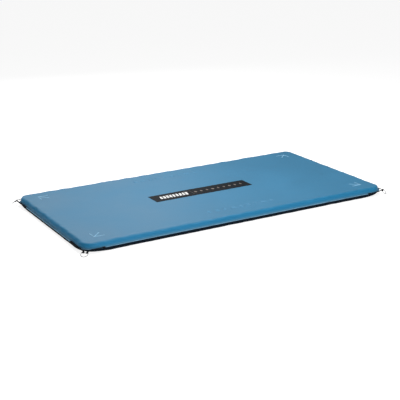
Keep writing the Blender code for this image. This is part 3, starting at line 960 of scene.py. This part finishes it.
def add_webbing(name, band, nodes):
    points, faces, along, across = band
    mesh = solid_from(name, points, faces)
    add_attribute(mesh, "along", along)
    add_attribute(mesh, "across", across)
    add_piece(name, mesh, webbing, "mat", nodes)


def make_straps():
    def section_at(row):
        extra = row[4]
        return tape_section(STRAP_WIDTH + extra * 0.4, STRAP_THICKNESS + extra)

    for corner, signs in zip(CORNER_NAMES, CORNER_SIGNS):
        for edge, reach in STRAP_REACH.items():

            def place(point, signs=signs, edge=edge):
                return place_at_corner(point, signs, edge == "long")

            name = f"{corner}_{edge}_webbing"
            band = sweep(strap_rows(corner, edge), section_at, place)
            add_webbing(name, band, [f"{corner}_{edge}_strap"])
            add_webbing(f"{name}_fold", end_wrap(reach, place), [])
            make_stitching(f"{corner}_{edge}_stitches", f"{corner}_{edge}_bartack", reach, place)


# ---------------- rings


def ring_outline():
    """The middle line of a D-ring's wire: a straight bar along Y at the origin, and a bow out to +X."""
    points = []
    corner = RING_CORNER_RADIUS
    corner_steps = 6
    bow_steps = 40
    for step in range(corner_steps + 1):
        angle = math.pi - math.pi / 2 * step / corner_steps
        y = RING_HALF_WIDTH - corner + corner * math.sin(angle)
        points.append((corner + corner * math.cos(angle), y))
    mirrored = [(x, -y) for x, y in reversed(points)]
    bow = RING_DEPTH - RING_STRAIGHT_END
    for step in range(bow_steps + 1):
        angle = math.pi / 2 - math.pi * step / bow_steps
        points.append((RING_STRAIGHT_END + bow * math.cos(angle), RING_HALF_WIDTH * math.sin(angle)))
    points += mirrored
    bar_end = RING_HALF_WIDTH - corner
    bar_steps = 12
    for step in range(1, bar_steps):
        points.append((0, bar_end * (2 * step / bar_steps - 1)))
    return points


def wire_ring(points):
    """A round wire along a closed flat line, a little thicker where its ends are welded on the bar."""
    sides = 16
    count = len(points)
    verts = []
    for index, (x, y) in enumerate(points):
        before = Vector(points[index - 1])
        after = Vector(points[(index + 1) % count])
        tangent = (after - before).normalized()
        outward = Vector((tangent.y, -tangent.x, 0))
        on_bar = x < 1e-6 and abs(y) < 0.006
        bead = 0.00035 * math.exp(-((y / 0.0016) ** 2)) if on_bar else 0
        radius = WIRE / 2 + bead
        for side in range(sides):
            angle = 2 * math.pi * side / sides
            offset = outward * math.cos(angle) + Vector((0, 0, 1)) * math.sin(angle)
            verts.append(Vector((x, y, 0)) + offset * radius)
    return verts, tube_faces(count, sides, "joined")


def make_rings():
    verts, faces = wire_ring(ring_outline())
    for index, corner in enumerate(CORNER_NAMES):
        bar = Vector(JOINTS[f"{corner}_ring_swing"]["pos_m"])
        droop = math.asin((bar.z - WIRE / 2 - STRAP_GAP) / RING_DEPTH)
        heading = Matrix.Rotation(math.pi / 4 + index * math.pi / 2, 4, "Z")
        matrix = Matrix.Translation(bar) @ heading @ Matrix.Rotation(droop, 4, "Y")
        name = f"{corner}_wire_ring"
        mesh = solid_from(name, verts, faces, 60)
        add_piece(name, mesh, steel, f"{corner}_ring", [f"{corner}_d_ring"], matrix)


# ---------------- foam and valve


def lathe(profile, steps, radius_at=None):
    """Points and faces of a closed profile turned about Z. radius_at may shape it with the angle."""
    points = []
    for step in range(steps):
        angle = 2 * math.pi * step / steps
        for radius, height in profile:
            if radius_at is not None:
                radius = radius_at(radius, height, angle)
            points.append((radius * math.cos(angle), radius * math.sin(angle), height))
    return points, tube_faces(steps, len(profile), "joined")


def add_turned(name, profile, round_by, body, node, steps=64, radius_at=None):
    """A plastic part of the valve, turned about its axis."""
    outline = round_corners(profile, round_by, (0, 0.3, 0.6, 1))
    mesh = solid_from(name, *lathe(outline, steps, radius_at))
    return add_piece(name, mesh, plastic, body, [node], VALVE_FRAME)


def make_valve_body():
    """The fixed tube, with the eye-shaped wings that the skins are welded to."""
    neck = 0.0065
    bore = 0.0046
    profile = [(neck, 0.016), (neck, 0.0026), (0.0095, 0.0026), (0.0095, 0.0006), (0.0080, 0.0006)]
    profile += [(0.0080, -0.012), (0.0070, -0.013), (0.0070, -0.030), (bore, -0.030), (bore, 0.016)]
    add_turned("valve_neck", profile, 0.0004, "mat", "valve_body")
    wing_steps = 12
    outs = [0.0079 + 0.0200 * step / wing_steps for step in range(wing_steps + 1)]
    for side, name in ((-1, "valve_wing_front"), (1, "valve_wing_back")):
        edge = [(wing_half(out), side * out) for out in outs]
        edge += [(-half, across) for half, across in reversed(edge)]
        points = [(half, across, depth) for depth in (0.0003, -0.0095) for half, across in edge]
        mesh = solid_from(name, points, tube_faces(2, len(edge), "filled"))
        add_piece(name, mesh, plastic, "mat", [], VALVE_FRAME)


def wing_half(out):
    """Half the wing's thickness this far from the valve's axis, just under the arch of the skins."""
    return max(0.0002, valve_arch(out) - 0.0016)


def make_cap():
    """The cap: a grip with rounded ribs, a waist and a lipped mouth."""
    bore = 0.0068
    profile = [(0.0062, 0.0245), (0.0070, 0.0238), (0.0064, 0.0215), (0.0068, 0.0190), (0.0112, 0.0176)]
    profile += [(0.0120, 0.0166), (0.0120, 0.0110), (0.0120, 0.0050), (0.0113, 0.0042), (bore, 0.0042)]
    profile += [(bore, 0.0060), (0.0085, 0.0060), (0.0085, 0.0082), (bore, 0.0082), (bore, 0.0165)]
    profile += [(0.0040, 0.0165), (0.0040, 0.0205), (0.0053, 0.0216), (0.0053, 0.0245)]

    def ribbed(radius, height, angle):
        if radius < 0.0109 or not 0.0045 < height < 0.0172:
            return radius
        rib = 0.5 + 0.5 * math.cos(20 * angle)
        return radius - 0.0008 * (1 - rib) ** 2

    add_turned("valve_cap_grip", profile, 0.0005, "valve_cap", "valve_cap", 160, ribbed)


def make_plug():
    """The fixed stopper with its spoked foot."""
    edge = 0.0043
    profile = [(0.0002, 0.020), (0.0026, 0.020), (0.0034, 0.0192), (0.0034, 0.018), (0.0022, 0.018)]
    profile += [(0.0022, 0.010), (edge, 0.010), (edge, 0.008), (0.0002, 0.008)]

    def spoked(radius, height, angle):
        if radius < 0.0030 or height > 0.0105:
            return radius
        return 0.0024 + (radius - 0.0024) * (1 if math.cos(3 * angle) > -0.25 else 0.25)

    add_turned("valve_stopper", profile, 0.0003, "mat", "valve_plug", 48, spoked)


def make_guard():
    """A four-pronged collar on the valve's inner end."""
    profile = [(0.0070, -0.0303), (0.0070, -0.042), (0.0054, -0.042), (0.0054, -0.0303)]
    guard = add_turned("valve_foam_collar", profile, 0.0004, "mat", "valve_foam_guard", 48)
    for turn in range(2):
        bm = bmesh.new()
        size = Matrix.Diagonal((0.028, 0.004, 0.009, 1))
        where = Matrix.Translation((0, 0, -0.0385)) @ Matrix.Rotation(turn * math.pi / 2, 4, "Z")
        bmesh.ops.create_cube(bm, size=1, matrix=VALVE_FRAME @ where @ size)
        apply_cut(guard, mesh_of(bm, "slot"))


def apply_cut(piece, cutter_mesh):
    """Cuts a shape out of the piece for good."""
    cutter = add_object("cutter", cutter_mesh)
    boolean = piece.modifiers.new("cut", "BOOLEAN")
    boolean.object = cutter
    boolean.operation = "DIFFERENCE"
    bpy.context.view_layer.update()
    evaluated = piece.evaluated_get(bpy.context.evaluated_depsgraph_get())
    result = bpy.data.meshes.new_from_object(evaluated)
    piece.modifiers.remove(boolean)
    old = piece.data
    piece.data = result
    result.name = old.name
    bpy.data.objects.remove(cutter)


def make_seals():
    for name, node, height, inner, wire, body in (
        ("valve_stopper_ring", "valve_plug_seal", 0.0171, 0.0025, 0.0006, "mat"),
        ("valve_sliding_ring", "valve_cap_seal", 0.0071, 0.0068, 0.0007, "valve_seal_ring"),
    ):
        circle = [2 * math.pi * step / 16 for step in range(16)]
        middle = inner + wire
        profile = [(middle + wire * math.cos(a), height - wire * math.sin(a)) for a in circle]
        mesh = solid_from(name, *lathe(profile, 64), 60)
        add_piece(name, mesh, rubber, body, [node], VALVE_FRAME)


def make_foam():
    """The foam block: a finer loft than the frame's, with a slightly uneven sawn surface."""
    clear = 0.0022
    seam = TOP_SEAM - 0.00115
    low = section_rows(seam, clear, BILGE_RUN, SOLE_RADIUS)[FLANGE_ROWS:]
    high = section_rows(seam, TOP - clear, SHOULDER_RUN, SHOULDER_RADIUS)[FLANGE_ROWS:]
    rows = [(inset + clear, z, max(radius - clear, 0)) for inset, z, radius in low[::-1] + high[1:]]
    surface, faces = rim_surface(rows, "filled")[:2]
    points = []
    for x, y, z in surface:
        uneven = noise.noise(Vector((x, y, z)) * 40) * 0.0003
        points.append((x * (1 - uneven), y * (1 - uneven), z + uneven))
    mesh = mesh_from("foam_block", points, faces, 50)
    block = add_piece("foam_block", mesh, foam, "mat", ["foam_core"])
    bm = bmesh.new()
    where = VALVE_FRAME @ Matrix.Translation((0, 0, -0.0195))
    size = {"segments": 32, "radius1": 0.0083, "radius2": 0.0083, "depth": 0.047}
    bmesh.ops.create_cone(bm, cap_ends=True, matrix=where, **size)
    apply_cut(block, mesh_of(bm, "bore"))


# ---------------- studio


def make_camera():
    camera = add_object("camera", bpy.data.cameras.new("camera"))
    camera.data.lens = CAMERA_LENS
    camera.data.sensor_width = 36
    camera.data.clip_end = 200
    turn = Matrix.Rotation(-math.radians(CAMERA_AZIMUTH), 4, "Z")
    tilt = Matrix.Rotation(math.radians(90 - CAMERA_ELEVATION), 4, "X")
    roll = Matrix.Rotation(-math.radians(CAMERA_ROLL), 4, "Z")
    camera.matrix_world = Matrix.Translation(CAMERA_PLACE) @ turn @ tilt @ roll
    bpy.context.scene.camera = camera


def make_floor():
    half = 40
    corners = [(x, y, 0) for x, y in box_outline(-half, -half, half, half)]
    mesh = mesh_from("floor", corners, [(0, 1, 2, 3)])
    mesh.materials.append(floor_material())
    floor = add_object("floor", mesh)


def make_softboxes():
    for name, (place, aim, size, power) in SOFTBOXES.items():
        box = add_object(name, bpy.data.lights.new(name, "AREA"))
        box.data.size = size
        box.data.energy = power
        box.location = place
        box.rotation_euler = (Vector(place) - Vector(aim)).to_track_quat("Z", "Y").to_euler()


def make_studio():
    world = bpy.data.worlds.new("studio")
    bpy.context.scene.world = world
    world.use_nodes = True
    background = world.node_tree.nodes["Background"]
    background.inputs["Color"].default_value = (1, 1, 1, 1)
    background.inputs["Strength"].default_value = SKY_STRENGTH
    bpy.context.scene.view_settings.view_transform = "Standard"
    make_softboxes()
    make_floor()


make_camera()

BLUE = (0.024, 0.172, 0.315)
# Darker blue painted on the side walls as shade
PAINTED_SIDE_SHADE_BLUE = (0.016, 0.155, 0.305)
# Paler blue for the flange: partly the welded seam's own tone, partly a painted highlight
WELD_AND_HIGHLIGHT_BLUE = (0.130, 0.280, 0.400)
# Near-black with a faint blue tint that is painted blue bounce light
BLACK_WITH_PAINTED_BOUNCE = (0.003, 0.007, 0.013)
blue_fabric = skin_material("blue_fabric", BLUE, PAINTED_SIDE_SHADE_BLUE, WELD_AND_HIGHLIGHT_BLUE, 0.0009, 0.50, 0.45)
black_fabric = skin_material("black_fabric", BLACK_WITH_PAINTED_BOUNCE, BLACK_WITH_PAINTED_BOUNCE, BLACK_WITH_PAINTED_BOUNCE, 0.0014, 0.65, 0.10)
foam = foam_material()
webbing = webbing_material()
black_thread = thread_material()
steel = plated_material()
badge_ink = ink_material("panel_ink", (0.006, 0.008, 0.011), 0.55, 0.04)
white_ink = ink_material("bar_ink", (0.80, 0.80, 0.79), 0.5, 0.10)
dim_ink = ink_material("diamond_ink", (0.20, 0.17, 0.15), 0.5, 0.15)
mark_ink = ink_material("arrow_ink", (0.26, 0.50, 0.70), 0.5, 0.20)
faint_ink = ink_material("dash_ink", (0.085, 0.245, 0.400), 0.5, 0.20)
plastic = moulded_material("valve_plastic", (0.014, 0.015, 0.017), 0.42, 0.00008)
rubber = moulded_material("seal_rubber", (0.02, 0.02, 0.02), 0.6, 0.00004)

top_skin = make_skin(
    "top_cover", "top_skin", TOP_SEAM, TOP, SHOULDER_RUN, SHOULDER_RADIUS, blue_fabric, 1
)
make_skin(
    "bottom_cover", "bottom_skin", BOTTOM_SEAM, 0, BILGE_RUN, SOLE_RADIUS, black_fabric, -1
)
top_height = surface_under(top_skin)
make_badge()
make_corner_marks()
make_edge_prints()
make_straps()
make_rings()
make_foam()
make_valve_body()
make_guard()
make_plug()
make_cap()
make_seals()
make_studio()
